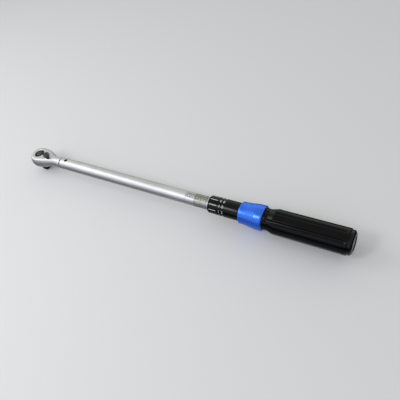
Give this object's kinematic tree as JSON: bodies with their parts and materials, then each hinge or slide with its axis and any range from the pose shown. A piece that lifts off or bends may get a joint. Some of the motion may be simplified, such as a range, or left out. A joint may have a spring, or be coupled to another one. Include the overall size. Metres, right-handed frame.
{
  "type": "torque wrench",
  "caption": "Click-type torque wrench: ratchet head with square drive and reversing lever, long round tube, scale thimble, sliding lock ring and fluted turning grip.",
  "frame": {"origin": "on the drive axis, at the head's drive-side face, where a socket ends", "axes": "+X along the tube towards the handle, +Z along the drive axis to the lever side"},
  "size_m": [0.5965, 0.038, 0.0445],
  "materials": {
    "head_chrome": "satin cast chrome",
    "tube_chrome": "satin chrome, brushed round",
    "gear_black": "black oxide",
    "button_steel": "satin",
    "lever_grey": "grey, fine cast",
    "knob_black": "gloss",
    "bearing_steel": "polished",
    "spring_steel": "oiled",
    "plain_steel": "turned",
    "pin_black": "black oxide",
    "seal_rubber": "matt",
    "bronze": "sintered bronze",
    "thimble_black": "gloss with white printed scale",
    "ring_blue": "gloss",
    "grip_black": "semi-gloss moulded",
    "cap_black": "gloss"
  },
  "bodies": {
    "tube": {"main_tube": "tube_chrome", "pivot_pin": "pin_black", "adjuster_nut": "bronze", "nut_screws": "pin_black"},
    "head": {"ratchet_head": "head_chrome", "neck_seal": "seal_rubber", "cover_plate": "button_steel", "retaining_ring": "spring_steel"},
    "drive": {"drive_gear": "gear_black", "release_spring": "spring_steel"},
    "button": {"release_button": "button_steel"},
    "square_ball": {"detent_ball": "bearing_steel"},
    "lever": {"reversing_lever": "lever_grey", "lever_knob": "knob_black", "detent_plunger": "plain_steel", "detent_spring": "spring_steel"},
    "pawl": {"pawl": "plain_steel"},
    "plunger": {"spring_plunger": "plain_steel", "main_spring": "spring_steel"},
    "block": {"tilt_block": "plain_steel"},
    "seat": {"spring_seat": "plain_steel", "thrust_ball": "bearing_steel"},
    "handle": {"adjusting_screw": "plain_steel", "end_plug": "plain_steel", "plug_nut": "plain_steel", "handle_sleeve": "plain_steel", "guide_bush": "bronze", "scale_thimble": "thimble_black", "lock_spring": "spring_steel", "grip": "grip_black", "end_cap": "cap_black"},
    "ring": {"lock_ring": "ring_blue"},
    "lock_ball_1": {"lock_ball_1": "bearing_steel"},
    "lock_ball_2": {"lock_ball_2": "bearing_steel"},
    "lock_ball_3": {"lock_ball_3": "bearing_steel"}
  },
  "joints": [
    {"name": "head_click", "type": "hinge", "parent": "tube", "child": "head", "pos_m": [0.0678, 0, 0.01], "axis": [0, 0, 1], "range_deg": [0, 1.4], "stiffness_Nm_per_rad": 60, "springref_deg": -1.15},
    {"name": "drive_spin", "type": "hinge", "parent": "head", "child": "drive", "pos_m": [0, 0, 0], "axis": [0, 0, 1], "continuous": true},
    {"name": "lever_turn", "type": "hinge", "parent": "head", "child": "lever", "pos_m": [0.0175, 0, 0.01], "axis": [0, 0, 1], "range_deg": [0, 60]},
    {"name": "pawl_swing", "type": "hinge", "parent": "head", "child": "pawl", "pos_m": [0.0175, 0, 0.01], "axis": [0, 0, 1], "range_deg": [-24, 0]},
    {"name": "button_press", "type": "slide", "parent": "drive", "child": "button", "axis": [0, 0, -1], "range_m": [0, 0.0028], "stiffness_N_per_m": 300, "springref_m": -0.004, "deforming": ["release_spring"]},
    {"name": "ball_retract", "type": "slide", "parent": "drive", "child": "square_ball", "axis": [0, 1, 0], "range_m": [0, 0.0011]},
    {"name": "plunger_push", "type": "slide", "parent": "tube", "child": "plunger", "axis": [1, 0, 0], "range_m": [0, 0.0018], "deforming": ["main_spring"]},
    {"name": "block_tilt", "type": "hinge", "parent": "plunger", "child": "block", "pos_m": [0.16395, 0.004, 0.01], "axis": [0, 0, 1], "range_deg": [-14.7, 0]},
    {"name": "seat_advance", "type": "slide", "parent": "tube", "child": "seat", "axis": [-1, 0, 0], "range_m": [0, 0.04004], "deforming": ["main_spring"]},
    {"name": "handle_turn", "type": "hinge", "parent": "seat", "child": "handle", "pos_m": [0.45, 0, 0.01], "axis": [-1, 0, 0], "range_deg": [0, 3276]},
    {"name": "lock_slide", "type": "slide", "parent": "handle", "child": "ring", "axis": [1, 0, 0], "range_m": [0, 0.005], "stiffness_N_per_m": 800, "springref_m": -0.004, "deforming": ["lock_spring"]},
    {"name": "lock_ball_1_out", "type": "slide", "parent": "handle", "child": "lock_ball_1", "axis": [0, 0, 1], "range_m": [0, 0.0008]},
    {"name": "lock_ball_2_out", "type": "slide", "parent": "handle", "child": "lock_ball_2", "axis": [0, -0.866, -0.5], "range_m": [0, 0.0008]},
    {"name": "lock_ball_3_out", "type": "slide", "parent": "handle", "child": "lock_ball_3", "axis": [0, 0.866, -0.5], "range_m": [0, 0.0008]}
  ],
  "couplings": [
    {"joint": "pawl_swing", "follows": "lever_turn", "ratio": -0.4},
    {"joint": "ball_retract", "follows": "button_press", "ratio": 0.3928},
    {"joint": "plunger_push", "follows": "head_click", "m_per_rad": 0.072},
    {"joint": "block_tilt", "follows": "head_click", "ratio": -10.429},
    {"joint": "seat_advance", "follows": "handle_turn", "m_per_rad": 0.00070028},
    {"joint": "lock_ball_1_out", "follows": "lock_slide", "ratio": 0.16},
    {"joint": "lock_ball_2_out", "follows": "lock_slide", "ratio": 0.16},
    {"joint": "lock_ball_3_out", "follows": "lock_slide", "ratio": 0.16}
  ]
}
